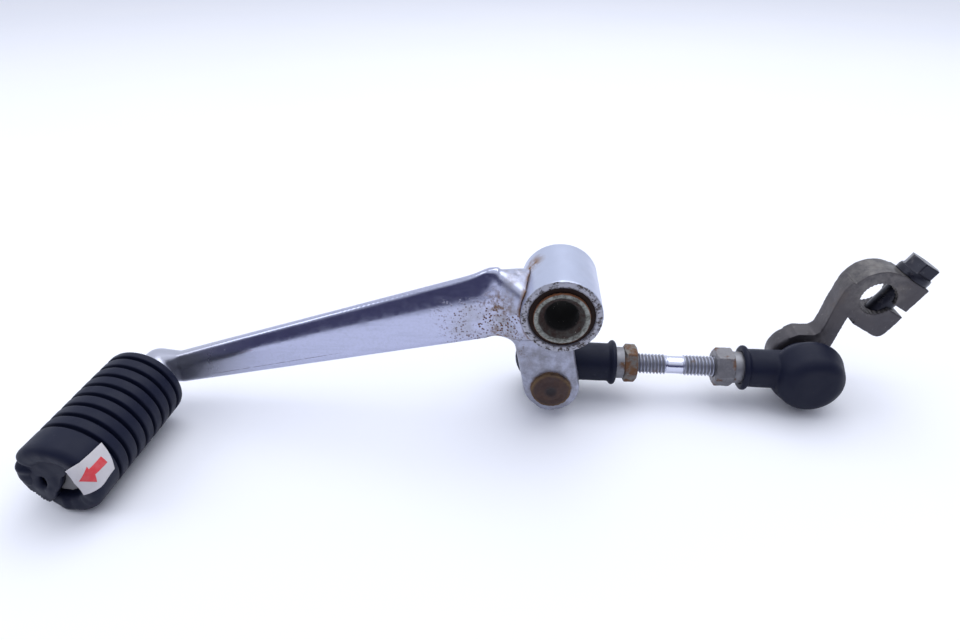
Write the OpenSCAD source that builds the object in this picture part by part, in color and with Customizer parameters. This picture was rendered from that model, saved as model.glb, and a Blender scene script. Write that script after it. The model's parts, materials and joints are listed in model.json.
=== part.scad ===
// Motorcycle gear shift lever with tie rod, two ball joints and a split shaft arm.
// Millimetres. The origin is the middle of the pivot bore; +X runs along the tie rod
// toward the shift shaft, -Y points to the rider's boot, +Z is up.

/* [Pivot] */
// Outside diameter of the pivot tube
tube_d = 21; // [19:0.1:24]
// Length of the pivot tube
tube_len = 22; // [18:0.5:30]
// Wall of the pivot tube
tube_wall = 2; // [1.6:0.1:3]
// Outside diameter of the hardened pivot collar
collar_d = 14; // [12.5:0.1:15]
// How far the collar stands out of each end of the tube
collar_proud = 0.75; // [0.4:0.05:2]
// Bore of the pivot collar, for the pivot bolt
pivot_bore_d = 8.4; // [6.4:0.1:10.2]
// Mouth diameter of the countersink in the collar
collar_mouth_d = 12.4; // [11:0.1:12.8]

/* [Lever] */
// Distance from the pivot to the toe peg along X
toe_reach = 114.5; // [95:0.5:140]
// How far the toe peg lies below the pivot
toe_drop = 24.7; // [5:0.5:45]
// How far the toe end of the blade is set toward the boot
toe_offset = 2.4; // [0:0.2:8]
// Thickness of the forged blade
blade_t = 5.5; // [4:0.1:8]
// Height of the blade beside the pivot
blade_root_h = 19.4; // [14:0.2:22]
// Height of the blade at the toe end
blade_tip_h = 9; // [7:0.2:12]
// Y of the front face of the forging at the pivot
forging_front = -5.6; // [-7:0.1:-4]
// Thickness of the link arm that carries the first ball stud
arm_t = 7.3; // [5:0.1:8]
// Distance from the pivot down to the first ball stud
link_radius = 26.6; // [25.5:0.1:34]
// Radius of the link arm around its ball stud
link_eye_r = 8; // [7.4:0.1:10]

/* [Toe peg] */
// Diameter of the steel toe peg
peg_d = 9.6; // [8:0.1:11]
// Outside diameter of the toe rubber
rubber_d = 21.8; // [17:0.1:26]
// Length of the toe rubber
rubber_len = 37.5; // [28:0.5:48]
// Sideways lean of the peg, degrees
peg_splay = 4.8; // [0:0.1:10]
// Downward lean of the peg, degrees
peg_sag = 2.75; // [-5:0.1:8]

/* [Tie rod and ball joints] */
// Distance between the two ball studs
link_len = 74.2; // [64:0.2:95]
// Thread diameter of the tie rod
rod_d = 6; // [5:0.1:7]
// Diameter of the plain middle of the tie rod
rod_mid_d = 5.3; // [4.2:0.1:6]
// Width across flats of the lock nuts
nut_af = 10; // [8:0.1:11]
// Diameter of the ball on each stud
ball_d = 9; // [8:0.1:9.6]
// Distance from a ball centre to the arm face behind it
ball_stand = 6.8; // [6.4:0.1:9]
// Diameter of the rod end shank
shank_d = 9.3; // [8.6:0.1:11]
// Reach of a rod end from its ball centre to the nut face
rod_end_len = 21.6; // [19:0.2:25]
// Largest radius of a rubber boot
boot_r = 10.35; // [10.2:0.05:12]

/* [Shaft arm] */
// Distance along X from the second ball stud to the shaft clamp
arm_dx = 17.8; // [15:0.1:24]
// Height of the shaft clamp above the second ball stud
arm_dz = 20.7; // [17:0.1:34]
// Thickness of the shaft clamp
clamp_t = 9; // [8.8:0.1:12]
// Bore of the shaft clamp
clamp_bore_d = 9.6; // [9:0.1:12]
// Width of the slit in the clamp
slit_w = 1.7; // [1:0.1:2.5]
// Radius of the clamp ring
clamp_r = 8.8; // [8.2:0.1:11]
// Width across flats of the pinch bolt head
bolt_af = 8; // [7:0.1:10]

/* [Hidden] */
fit = 0.05;                              // radial running clearance
gap = 0.3;                               // gap between a moving boot and an arm
tube_bore = tube_d - 2*tube_wall;
collar_od = min(collar_d, tube_bore - 2.4); // leaves room for the bushes in a thin tube
collar_mouth = min(collar_mouth_d, collar_od - 0.8);
collar_len = tube_len + 2*collar_proud;
seal_t = 1.2;
seal_in = 0.5;                           // seals sit this far inside the tube mouth
bush_len = tube_len*0.3;
rod_y = forging_front + arm_t + ball_stand;
arm_back = forging_front + arm_t;
ball_ax = -1.2;
ball_az = -link_radius;
ball_bx = ball_ax + link_len;
stud_d = 6.5;
head_r = ball_d/2 + 3.5;                 // outside radius of a rod end head
head_in = ball_d/2 + 0.1;                // head depth on the stud side of the ball
head_out = ball_d/2 + 2.3;               // head depth on the closed side of the ball
seat_r = ball_d/2 + 1.1;
lid_t = 1.4;
nut_a_t = 3.9;
nut_b_t = 6.2;
rod_in = 11.5;                           // thread engagement inside a rod end
nut_pt = nut_af/cos(30);
clamp_x = ball_bx + arm_dx;
clamp_z = ball_az + arm_dz;
arm_b_y = rod_y + ball_stand;            // front face of the shaft arm
eye_t = 6.7;
lobe_up = 9.1;
lobe_down = 9.7;
lobe_reach = clamp_bore_d/2 + 4.9;
bolt_u = clamp_bore_d/2 + 0.5;
slit_angle = 29.5;
toe_y = forging_front + blade_t/2 - toe_offset;
peg_start = 7.6;
rubber_bore = peg_d;
groove_n = 8;
groove_first = 2.2;
groove_pitch = 3.75;
groove_w = 1.3;

// A cylinder along Y from y0 to y1
module ycyl(d, y0, y1) {
    translate([0, y1, 0]) rotate([90, 0, 0]) cylinder(h = y1 - y0, d = d, $fn = 96);
}

// A cylinder along X from x0 to x1
module xcyl(d, x0, x1) {
    translate([x0, 0, 0]) rotate([0, 90, 0]) cylinder(h = x1 - x0, d = d, $fn = 96);
}

// A ring along Y from y0 to y1
module yring(d_out, d_in, y0, y1) {
    difference() {
        ycyl(d_out, y0, y1);
        ycyl(d_in, y0 - 1, y1 + 1);
    }
}

// Turned about Y: the 2D shape's X is the radius, its Y runs along +Y
module turned_y() {
    rotate([90, 0, 0]) mirror([0, 0, 1]) rotate_extrude($fn = 96) children();
}

// Frame with its origin on the blade's toe end and the peg along -Y
module at_toe() {
    translate([-toe_reach, toe_y, -toe_drop]) rotate([peg_sag, 0, -peg_splay]) children();
}

// Frame of ball joint A: the closed side of the joint points along +Y
module at_a() {
    translate([ball_ax, rod_y, ball_az]) children();
}

// Frame of ball joint B: turned so that its closed side and rod side match joint A
module at_b() {
    translate([ball_bx, rod_y, ball_az]) rotate([0, 0, 180]) children();
}

// Frame of the clamp: X runs out along the slit, Z along the pinch bolt
module at_clamp() {
    translate([clamp_x, arm_b_y, clamp_z]) rotate([0, slit_angle, 0]) children();
}

// Four rounding balls at the corners of a blade section, its front edges sharper
module section_balls(x, y0, y1, z0, z1) {
    translate([x, y0 + 1, z0 + 1]) sphere(r = 1, $fn = 24);
    translate([x, y0 + 1, z0 + (z1 - z0)*0.6]) sphere(r = 1, $fn = 24);
    translate([x, y0 + 1 + (z1 - z0)*0.07, z1 - 0.6]) sphere(r = 0.6, $fn = 20);
    translate([x, y1 - 2, z0 + 2]) sphere(r = 2, $fn = 32);
    translate([x, y1 - 2, z1 - 2.2]) sphere(r = 2, $fn = 32);
}

root_x = -16.5;
root_top = blade_root_h/2 - 0.7;
root_bot = root_top - blade_root_h;
tip_x = -toe_reach + 6.8;
tip_mid = -toe_drop + 0.3;
blade_front = forging_front + 0.2;

// Blade section at the pivot end, moved in by skin on every side
module root_section(skin) {
    section_balls(root_x - 2*skin, blade_front + skin, blade_front + blade_t - skin,
        root_bot + skin, root_top - skin);
}

// Blade section at the toe end, moved in by skin on every side
module tip_section(skin) {
    section_balls(tip_x + 2*skin, blade_front - toe_offset + skin,
        blade_front - toe_offset + blade_t - skin,
        tip_mid - blade_tip_h/2 + skin, tip_mid + blade_tip_h/2 - skin);
}

module blade() {
    hull() {
        root_section(0);
        tip_section(0);
    }
}

module elbow() {
    hull() {
        tip_section(0.15);
        at_toe() sphere(d = peg_d + 0.5, $fn = 48);
    }
}

// Flared neck from the blade to the pivot tube
module neck() {
    hull() {
        root_section(0.15);
        for (y = [-tube_len/2 + 3.2, tube_len/2 - 3]) {
            translate([-tube_d*0.38, y, -tube_d*0.36]) sphere(r = 2, $fn = 24);
            translate([-tube_d*0.36, y, tube_d*0.1]) sphere(r = 2, $fn = 24);
        }
        translate([-tube_d*0.33, tube_len*0.15, tube_d*0.21]) sphere(r = 2, $fn = 24);
    }
}

// Flat link arm below the pivot, with a rounded corner under the blade
module link_arm() {
    difference() {
        translate([0, arm_back, 0]) rotate([90, 0, 0]) linear_extrude(arm_t) union() {
            polygon([[-11.4, -4], [-11.4, -15], [ball_ax - link_eye_r, ball_az],
                [ball_ax + link_eye_r, ball_az], [4.3, -14], [3.5, -4]]);
            polygon([[-17, root_bot + 6], [-17, root_bot], [-11.3, root_bot - 5.5],
                [-8, root_bot - 5.5], [-8, root_bot + 6]]);
        }
        translate([-15.8, 0, root_bot - 4.4]) ycyl(8.8, forging_front - 1, arm_back + 1);
    }
    translate([ball_ax, 0, ball_az]) ycyl(2*link_eye_r, forging_front, arm_back);
}

module pedal_lever() {
    color([0.74, 0.74, 0.8]) difference() {
        union() {
            blade();
            elbow();
            neck();
            link_arm();
            at_toe() ycyl(peg_d, -peg_start - rubber_len + 3, 0);
        }
        ycyl(tube_d, -tube_len, tube_len);
        translate([ball_ax, 0, ball_az]) ycyl(stud_d, forging_front - 1, arm_back + 1);
    }
}

module pivot_tube() {
    color([0.62, 0.62, 0.66]) yring(tube_d, tube_bore, -tube_len/2, tube_len/2);
}

// Weld fillet between the tube and the front of the link arm
module weld_bead() {
    color([0.5, 0.46, 0.42]) rotate([90, 0, 0]) rotate([0, 0, 244])
        rotate_extrude(angle = 45, $fn = 96)
            polygon([[tube_d/2, -forging_front], [tube_d/2 + 1.6, -forging_front],
                [tube_d/2, -forging_front + 1.8]]);
}

module bush(y0) {
    color([0.45, 0.36, 0.22])
        yring(tube_bore, collar_od + 2*fit, y0, y0 + bush_len);
}

module bush_front() {
    bush(-tube_len/2 + seal_in + seal_t);
}

module bush_rear() {
    bush(tube_len/2 - seal_in - seal_t - bush_len);
}

module dust_seal(y0) {
    color([0.08, 0.08, 0.09])
        yring(tube_bore, collar_od + 2*fit, y0, y0 + seal_t);
}

module dust_seal_front() {
    dust_seal(-tube_len/2 + seal_in);
}

module dust_seal_rear() {
    dust_seal(tube_len/2 - seal_in - seal_t);
}

module pivot_collar() {
    sink = (collar_mouth - pivot_bore_d)/2;
    color([0.4, 0.36, 0.33]) difference() {
        ycyl(collar_od, -collar_len/2, collar_len/2);
        ycyl(pivot_bore_d, -collar_len, collar_len);
        for (side = [0, 180])
            rotate([0, 0, side]) translate([0, -collar_len/2 + sink, 0]) rotate([90, 0, 0])
                cylinder(h = sink + 1, d1 = pivot_bore_d,
                    d2 = collar_mouth + 2, $fn = 96);
    }
}

module toe_rubber() {
    round_r = 2.2;
    color([0.07, 0.07, 0.09]) at_toe() difference() {
        translate([0, -peg_start, 0]) rotate([90, 0, 0]) rotate_extrude($fn = 96) union() {
            square([rubber_d/2 - round_r, rubber_len]);
            square([rubber_d/2, rubber_len - round_r]);
            translate([rubber_d/2 - round_r, rubber_len - round_r]) circle(r = round_r, $fn = 64);
        }
        for (i = [0:groove_n - 1])
            translate([0, -peg_start - groove_first - i*groove_pitch, 0])
                yring(rubber_d + 2, rubber_d - 2.6, -groove_w, 0);
        ycyl(rubber_bore, -peg_start - rubber_len + 3, 0);
    }
}

// Ball stud in the frame of its joint: ball at the origin, shank along -Y
module ball_stud(arm_thick, rivet_d) {
    cap_r = pow(rivet_d/2, 2) + 0.25;
    color([0.3, 0.26, 0.24]) union() {
        sphere(d = ball_d, $fn = 96);
        ycyl(stud_d, -ball_stand - arm_thick - 0.2, 0);
        intersection() {
            ycyl(rivet_d, -ball_stand - arm_thick - 1.7, -ball_stand - arm_thick);
            translate([0, -ball_stand - arm_thick - 1.7 + cap_r, 0]) sphere(r = cap_r, $fn = 96);
        }
    }
}

// Outside of a rod end head, tapered toward the stud
module head_body() {
    turned_y() polygon([[0, -head_in], [5.4, -head_in], [head_r, -1.2], [head_r, head_out],
        [0, head_out]]);
}

// Rod end in the frame of its joint: shank along +X, open side toward -Y
module rod_end() {
    color([0.62, 0.62, 0.64]) difference() {
        union() {
            head_body();
            xcyl(shank_d, 0, rod_end_len);
        }
        sphere(r = seat_r, $fn = 96);
        ycyl(2*seat_r, 0, head_out + 1);
        ycyl(stud_d + 2, -head_in - 1, 0);
        xcyl(rod_d, rod_end_len - rod_in - 0.8, rod_end_len + 1);
    }
}

// Points of an arc about a centre, from angle a0 to a1
function arc(c, r, a0, a1, n = 12) =
    [for (i = [0:n]) c + r*[cos(a0 + (a1 - a0)*i/n), sin(a0 + (a1 - a0)*i/n)]];

// Plastic seat around the ball
module ball_seat() {
    top = head_out - lid_t;
    ball_r = ball_d/2 + fit;
    mouth = -acos((stud_d/2 + 0.7)/ball_r);
    color([0.86, 0.86, 0.8]) turned_y()
        polygon(concat(arc([0, 0], seat_r, -38, 0), [[seat_r, top], [0, top]],
            arc([0, 0], ball_r, 90, mouth, 32)));
}

// Closing lid pressed into the closed side of the rod end
module retainer() {
    color([0.5, 0.5, 0.53]) difference() {
        ycyl(2*seat_r, head_out - lid_t, head_out);
        translate([0, head_out + 5.6, 0]) sphere(r = 6.2, $fn = 96);
    }
}

// Rubber boot in the frame of its joint: rolled lip, flared skirt and domed closed side
module boot() {
    end_y = -ball_stand + gap;
    r_lip = 0.9;
    r_back = 3.05;
    r_front = 4;
    lip_c = [5.8 - r_lip, end_y + r_lip];
    back_c = [boot_r - r_back, 1.5];
    front_c = [boot_r - 5.05, 5.35];
    skirt = back_c - lip_c;
    lean = atan2(skirt[1], skirt[0]) - asin((r_back - r_lip)/norm(skirt)) - 90;
    side = front_c - back_c;
    turn = atan2(side[1], side[0]) - acos((r_back - r_front)/norm(side));
    color([0.09, 0.09, 0.12]) difference() {
        union() {
            turned_y()
                polygon(concat([[0, end_y]], arc(lip_c, r_lip, -90, lean, 8),
                    arc(back_c, r_back, lean, turn), arc(front_c, r_front, turn, 90),
                    [[0, front_c[1] + r_front]]));
            xcyl(11.3, 0, rod_end_len - 4.2);
            xcyl(13.2, rod_end_len - 5, rod_end_len - 2.4);
        }
        head_body();
        xcyl(shank_d, 0, rod_end_len + 1);
        ycyl(stud_d + 2*fit, end_y - 1, 0);
    }
}

module hex_nut(x0, thick) {
    difference() {
        intersection() {
            translate([x0, 0, 0]) rotate([0, 90, 0]) rotate([0, 0, 30])
                cylinder(h = thick, d = nut_pt, $fn = 6);
            union() {
                translate([x0, 0, 0]) rotate([0, 90, 0])
                    cylinder(h = thick/2, d1 = nut_af*0.95, d2 = nut_af*0.95 + thick*1.8, $fn = 96);
                translate([x0 + thick, 0, 0]) rotate([0, -90, 0])
                    cylinder(h = thick/2, d1 = nut_af*0.95, d2 = nut_af*0.95 + thick*1.8, $fn = 96);
            }
        }
        xcyl(rod_d, x0 - 1, x0 + thick + 1);
    }
}

module lock_nut_a() {
    color([0.5, 0.48, 0.47]) at_a() hex_nut(rod_end_len, nut_a_t);
}

module lock_nut_b() {
    color([0.55, 0.55, 0.58]) at_b() hex_nut(rod_end_len, nut_b_t);
}

// Tie rod, threaded at both ends with a plain middle
module tie_rod() {
    x0 = rod_end_len - rod_in;
    x1 = link_len - rod_end_len + rod_in;
    plain0 = 33.8*link_len/74.2;
    plain1 = 39.3*link_len/74.2;
    color([0.72, 0.72, 0.74]) at_a() union() {
        xcyl(rod_d, x0, plain0);
        xcyl(rod_mid_d, plain0, plain1);
        xcyl(rod_d, plain1, x1);
    }
}

module ball_stud_a() {
    at_a() ball_stud(arm_t, 11.1);
}

module ball_stud_b() {
    at_b() ball_stud(eye_t, 10.4);
}

module rod_end_a() {
    at_a() rod_end();
}

module rod_end_b() {
    at_b() rod_end();
}

module ball_seat_a() {
    at_a() ball_seat();
}

module ball_seat_b() {
    at_b() ball_seat();
}

module retainer_a() {
    at_a() retainer();
}

module retainer_b() {
    at_b() retainer();
}

module boot_a() {
    at_a() boot();
}

module boot_b() {
    at_b() boot();
}

// Shaft arm: eye for the second ball stud, cranked bar and split clamp
module shaft_arm() {
    eye_r = 7.6;
    round_r = 1.6;
    corner_r = 2.5;
    lower_reach = lobe_reach + 0.6;
    wall_x = clamp_x - clamp_r;
    color([0.33, 0.32, 0.33]) difference() {
        union() {
            translate([ball_bx, arm_b_y, ball_az]) turned_y()
                polygon(concat([[0, 0]], arc([eye_r - round_r, round_r], round_r, -90, 0, 6),
                    arc([eye_r - round_r, eye_t - round_r], round_r, 0, 90, 6), [[0, eye_t]]));
            translate([0, arm_b_y + eye_t, 0]) rotate([90, 0, 0]) linear_extrude(eye_t)
                polygon([[ball_bx - 3.4, ball_az + 6.6], [ball_bx - 1.2, ball_az + 7.9],
                    [ball_bx + 3.6, ball_az + 8.1], [ball_bx + 4.9, ball_az + 9.2],
                    [ball_bx + 5.6, ball_az + 12], [wall_x - 2.6, clamp_z - 3.8],
                    [wall_x - 1.3, clamp_z + 2.2], [wall_x + 0.4, clamp_z + 5.2],
                    [clamp_x, clamp_z], [wall_x + 2.2, clamp_z - 6.4],
                    [wall_x + 1.4, clamp_z - 10.6], [ball_bx + 9.3, ball_az + 4.4],
                    [ball_bx + 7.3, ball_az - 1.4], [ball_bx + 5, ball_az - 4.6],
                    [ball_bx, ball_az]]);
            at_clamp() {
                ycyl(2*clamp_r, 0, clamp_t);
                translate([0, clamp_t, 0]) rotate([90, 0, 0]) linear_extrude(clamp_t)
                    polygon(concat([[0, 0], [lower_reach, 0]],
                        arc([lower_reach - corner_r, corner_r - lobe_down], corner_r, 0, -90, 8),
                        [[0, -lobe_down]]));
                cube([lobe_reach, clamp_t, lobe_up]);
            }
        }
        at_clamp() {
            ycyl(clamp_bore_d, -1, clamp_t + 1);
            translate([0, -1, -slit_w/2]) cube([lobe_reach + 4, clamp_t + 2, slit_w]);
            translate([bolt_u, clamp_t/2, 0]) cylinder(h = lobe_up + 1, d = rod_d + 0.4, $fn = 64);
            translate([bolt_u, clamp_t/2, -lobe_down - 1])
                cylinder(h = lobe_down + 1, d = rod_d, $fn = 64);
        }
        translate([ball_bx, 0, ball_az]) ycyl(stud_d, arm_b_y - 1, arm_b_y + eye_t + 1);
    }
}

// Flanged pinch bolt through the clamp lobes
module pinch_bolt() {
    color([0.12, 0.12, 0.14]) at_clamp() translate([bolt_u, clamp_t/2, lobe_up]) {
        translate([0, 0, -lobe_up - lobe_down + 0.4])
            cylinder(h = lobe_up + lobe_down - 0.4, d = rod_d, $fn = 64);
        cylinder(h = 1.2, d = 11.8, $fn = 96);
        translate([0, 0, 1.2]) cylinder(h = 0.8, d1 = 11.8, d2 = bolt_af + 1.6, $fn = 96);
        cylinder(h = 5.4, d = bolt_af/cos(30), $fn = 6);
    }
}

pedal_lever();
pivot_tube();
weld_bead();
bush_front();
bush_rear();
dust_seal_front();
dust_seal_rear();
pivot_collar();
toe_rubber();
ball_stud_a();
rod_end_a();
ball_seat_a();
retainer_a();
boot_a();
lock_nut_a();
tie_rod();
lock_nut_b();
rod_end_b();
ball_seat_b();
retainer_b();
boot_b();
ball_stud_b();
shaft_arm();
pinch_bolt();
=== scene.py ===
import bpy
import json
import bmesh
import math
from mathutils import Vector, Matrix, noise


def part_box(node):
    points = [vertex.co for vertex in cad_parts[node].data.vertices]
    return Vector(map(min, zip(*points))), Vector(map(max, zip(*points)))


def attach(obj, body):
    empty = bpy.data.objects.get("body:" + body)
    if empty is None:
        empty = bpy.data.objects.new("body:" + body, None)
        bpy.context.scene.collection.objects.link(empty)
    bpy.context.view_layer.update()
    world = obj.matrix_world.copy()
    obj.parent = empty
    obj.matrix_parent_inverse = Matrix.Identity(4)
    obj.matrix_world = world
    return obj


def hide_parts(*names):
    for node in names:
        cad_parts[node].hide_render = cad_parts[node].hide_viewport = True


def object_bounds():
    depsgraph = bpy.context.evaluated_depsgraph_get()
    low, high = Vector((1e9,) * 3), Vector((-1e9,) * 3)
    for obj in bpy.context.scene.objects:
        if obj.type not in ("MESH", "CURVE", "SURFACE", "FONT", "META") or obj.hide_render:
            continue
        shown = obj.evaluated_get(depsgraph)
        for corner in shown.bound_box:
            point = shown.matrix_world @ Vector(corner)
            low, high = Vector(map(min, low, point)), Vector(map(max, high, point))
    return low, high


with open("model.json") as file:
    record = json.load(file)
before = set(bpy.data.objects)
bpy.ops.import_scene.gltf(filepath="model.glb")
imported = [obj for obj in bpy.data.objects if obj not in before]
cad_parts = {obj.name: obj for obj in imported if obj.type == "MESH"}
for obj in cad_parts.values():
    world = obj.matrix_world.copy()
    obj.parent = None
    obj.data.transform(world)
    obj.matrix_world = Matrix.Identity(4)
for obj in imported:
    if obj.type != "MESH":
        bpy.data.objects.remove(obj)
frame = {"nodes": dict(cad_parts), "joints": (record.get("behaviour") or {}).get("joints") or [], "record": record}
cad_lo, cad_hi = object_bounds()
MM = 0.001


# ---------- small helpers for places in the row frame ----------

def middle(node):
    lo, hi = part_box(node)
    return (lo + hi) / 2


def joint_at(name):
    for j in frame["joints"]:
        if j["name"] == name:
            return Vector(j["pos_m"])
    raise KeyError(name)


def mount_at(name):
    for m in frame["record"]["mounts"]:
        if m["name"] == name:
            return Vector(m["pos_m"])
    raise KeyError(name)


def bell(x, centre, width):
    """A smooth hump: 1 at centre, under half at width from it."""
    return math.exp(-(((x - centre) / width) ** 2))


BALL_A = joint_at("ball_joint_a")
BALL_B = joint_at("ball_joint_b")
CLAMP = mount_at("shaft_clamp")
TUBE_LO, TUBE_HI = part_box("pivot_tube")
TUBE_R = (TUBE_HI.x - TUBE_LO.x) / 2
TUBE_R_MM = TUBE_R / MM
FLOOR_Z = cad_lo.z

# the peg's frame: its axis leans out and down from the blade's toe end
PEG_SAG, PEG_SPLAY = math.radians(2.75), math.radians(-4.8)
PEG_TURN = Matrix.Rotation(PEG_SPLAY, 4, "Z") @ Matrix.Rotation(PEG_SAG, 4, "X")
PEG_DIR = (PEG_TURN @ Vector((0, -1, 0))).normalized()
PEG_X = (PEG_TURN @ Vector((1, 0, 0))).normalized()
PEG_Z = (PEG_TURN @ Vector((0, 0, 1))).normalized()
RUBBER_LEN = 37.5 * MM
RUBBER_IN = middle("toe_rubber") - PEG_DIR * (RUBBER_LEN / 2)

# the clamp's frame: its slit is turned about Y, and the pinch bolt stands square to it
SLIT_TURN = Matrix.Rotation(math.radians(29.5), 4, "Y")
BOLT_FROM_BORE = 5.3 * MM
BOLT_DIR = (SLIT_TURN @ Vector((0, 0, 1))).normalized()
BOLT_AT = Vector((CLAMP.x, middle("pinch_bolt").y, CLAMP.z)) + SLIT_TURN @ Vector((BOLT_FROM_BORE, 0, 0))


# ---------- materials ----------

class Mat:
    """A Principled material with a small graph around it."""

    def __init__(self, name, color, metallic=0.0, rough=0.5, **more):
        self.m = bpy.data.materials.new(name)
        self.m.use_nodes = True
        self.t = self.m.node_tree
        self.t.nodes.clear()
        self.out = self.t.nodes.new("ShaderNodeOutputMaterial")
        self.p = self.t.nodes.new("ShaderNodeBsdfPrincipled")
        self.t.links.new(self.p.outputs[0], self.out.inputs[0])
        self.p.inputs["Base Color"].default_value = (*color, 1)
        self.p.inputs["Metallic"].default_value = metallic
        self.p.inputs["Roughness"].default_value = rough
        for k, v in more.items():
            self.p.inputs[k.replace("_", " ")].default_value = v
        self.coord = self.t.nodes.new("ShaderNodeTexCoord").outputs["Object"]
        self.color, self.rough, self.metal = (*color, 1), rough, metallic
        self.height = None

    def node(self, kind, **kw):
        n = self.t.nodes.new(kind)
        for k, v in kw.items():
            setattr(n, k, v)
        return n

    def feed(self, socket, value):
        """Links a socket, or sets its value."""
        if hasattr(value, "is_linked"):
            self.t.links.new(value, socket)
        else:
            socket.default_value = value

    def noise(self, scale, detail=4.0, rough=0.55, stretch=(1, 1, 1)):
        mp = self.node("ShaderNodeMapping")
        mp.inputs["Scale"].default_value = stretch
        self.t.links.new(self.coord, mp.inputs[0])
        n = self.node("ShaderNodeTexNoise")
        n.inputs["Scale"].default_value = scale
        n.inputs["Detail"].default_value = detail
        n.inputs["Roughness"].default_value = rough
        self.t.links.new(mp.outputs[0], n.inputs["Vector"])
        return n.outputs["Fac"]

    def ramp(self, value, lo, hi, out_lo=0.0, out_hi=1.0):
        n = self.node("ShaderNodeMapRange")
        n.clamp = True
        self.feed(n.inputs["Value"], value)
        n.inputs["From Min"].default_value = lo
        n.inputs["From Max"].default_value = hi
        n.inputs["To Min"].default_value = out_lo
        n.inputs["To Max"].default_value = out_hi
        return n.outputs[0]

    def patches(self, scale, detail, rough, lo, hi, most=1.0, least=0.0):
        """Cloudy patches of a fractal noise: least where it is under lo, most where it is over hi."""
        return self.ramp(self.noise(scale, detail, rough), lo, hi, least, most)

    def specks(self, scale, full, gone):
        """A speck at each Voronoi point: 1 out to full, 0 from gone."""
        n = self.node("ShaderNodeTexVoronoi", feature="F1")
        n.inputs["Scale"].default_value = scale
        self.t.links.new(self.coord, n.inputs["Vector"])
        return self.ramp(n.outputs["Distance"], full, gone, 1.0, 0.0)

    def math(self, op, a, b=None):
        n = self.node("ShaderNodeMath", operation=op)
        self.feed(n.inputs[0], a)
        if b is not None:
            self.feed(n.inputs[1], b)
        return n.outputs[0]

    def times(self, first, *masks):
        """Masks multiplied together."""
        for mask in masks:
            first = self.math("MULTIPLY", first, mask)
        return first

    def mix(self, fac, a, b, kind="RGBA"):
        n = self.node("ShaderNodeMix", data_type=kind)
        self.feed(n.inputs["Factor"], fac)
        self.feed(n.inputs["A"], a)
        self.feed(n.inputs["B"], b)
        return n.outputs["Result"]

    def layer(self, fac, color=None, rough=None, metal=None):
        """Lays a colour, roughness and metalness over what is there, where fac is 1."""
        if color is not None:
            self.color = self.mix(fac, self.color, (*color, 1))
        if rough is not None:
            self.rough = self.mix(fac, self.rough, rough, "FLOAT")
        if metal is not None:
            self.metal = self.mix(fac, self.metal, metal, "FLOAT")

    def bump(self, value, strength, distance):
        n = self.node("ShaderNodeBump")
        n.inputs["Strength"].default_value = strength
        n.inputs["Distance"].default_value = distance
        self.feed(n.inputs["Height"], value)
        if self.height is not None:
            self.t.links.new(self.height, n.inputs["Normal"])
        self.height = n.outputs[0]

    def axis(self, i):
        n = self.node("ShaderNodeSeparateXYZ")
        self.t.links.new(self.coord, n.inputs[0])
        return n.outputs[i]

    def along(self, i, lo, hi):
        """0 at lo and 1 at hi, two places in millimetres on one axis."""
        return self.ramp(self.axis(i), lo * MM, hi * MM)

    def off_line(self, centre=(0.0, 0.0, 0.0), across=(0, 2)):
        """Distance from a line through centre that is square to the two axes in across."""
        squares = []
        for i in across:
            d = self.math("SUBTRACT", self.axis(i), centre[i])
            squares.append(self.math("MULTIPLY", d, d))
        return self.math("SQRT", self.math("ADD", *squares))

    def inside(self, distance, radius, soft):
        """1 where a distance is within radius, falling to 0 over soft, both in millimetres."""
        return self.ramp(distance, radius * MM, (radius + soft) * MM, 1.0, 0.0)

    def near(self, point, radius, soft):
        """1 within radius of a point, falling to 0 over soft, all in millimetres."""
        n = self.node("ShaderNodeVectorMath", operation="DISTANCE")
        self.t.links.new(self.coord, n.inputs[0])
        n.inputs[1].default_value = Vector(point) * MM
        return self.inside(n.outputs["Value"], radius, soft)

    def done(self):
        for name, v in (("Base Color", self.color), ("Roughness", self.rough), ("Metallic", self.metal)):
            self.feed(self.p.inputs[name], v)
        if self.height is not None:
            self.t.links.new(self.height, self.p.inputs["Normal"])
        return self.m


RUST = (0.13, 0.05, 0.018)
RUST_PALE = (0.2, 0.105, 0.045)


def stain_and_shade_chrome_hub(m, hub):
    """Satin, cloudy plate from the neck to the link arm, stained in patches, with painted shade making it darkest
    and dullest low on the arm.
    """
    m.layer(m.times(hub, m.patches(150, 5, 0.6, 0.2, 0.7, 1.0, 0.75)),
            color=(0.44, 0.46, 0.58), rough=0.34, metal=0.85)
    m.layer(m.times(hub, m.patches(330, 8, 0.68, 0.48, 0.66, 0.75)),
            color=(0.28, 0.27, 0.3), rough=0.5, metal=0.6)
    # painted shade: the lower part of the arm is darkened and dulled, broken into cloudy patches
    low = m.times(hub, m.along(2, -10, -14), m.patches(420, 8, 0.7, 0.38, 0.66, 0.95, 0.3))
    m.layer(low, color=(0.23, 0.23, 0.26), rough=0.46, metal=0.7)


def rust_chrome_root(m):
    """Rust specks, haze and ochre streaks at the blade's root; gives back the specks for the bump."""
    root = m.near((-17.5, -5.5, -3.5), 5, 13)
    below = m.along(2, 2, -1.5)
    specks = m.times(m.specks(1300, 0.27, 0.42), m.patches(190, 4, 0.55, 0.4, 0.52), root, below)
    haze = m.times(root, m.patches(140, 6, 0.55, 0.4, 0.62, 0.7), below)
    m.layer(haze, color=(0.3, 0.29, 0.29), rough=0.4)
    m.layer(specks, color=RUST, rough=0.85, metal=0.05)
    ochre = m.times(m.near((-16.3, -6, 0.5), 0.9, 4.4), m.patches(560, 7, 0.7, 0.46, 0.6))
    m.layer(ochre, color=RUST_PALE, rough=0.85, metal=0.05)
    foot = m.times(m.near((-15.5, -6, -9), 0.4, 3.8), m.patches(560, 7, 0.7, 0.47, 0.6))
    m.layer(foot, color=RUST_PALE, rough=0.85, metal=0.05)
    return specks


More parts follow.
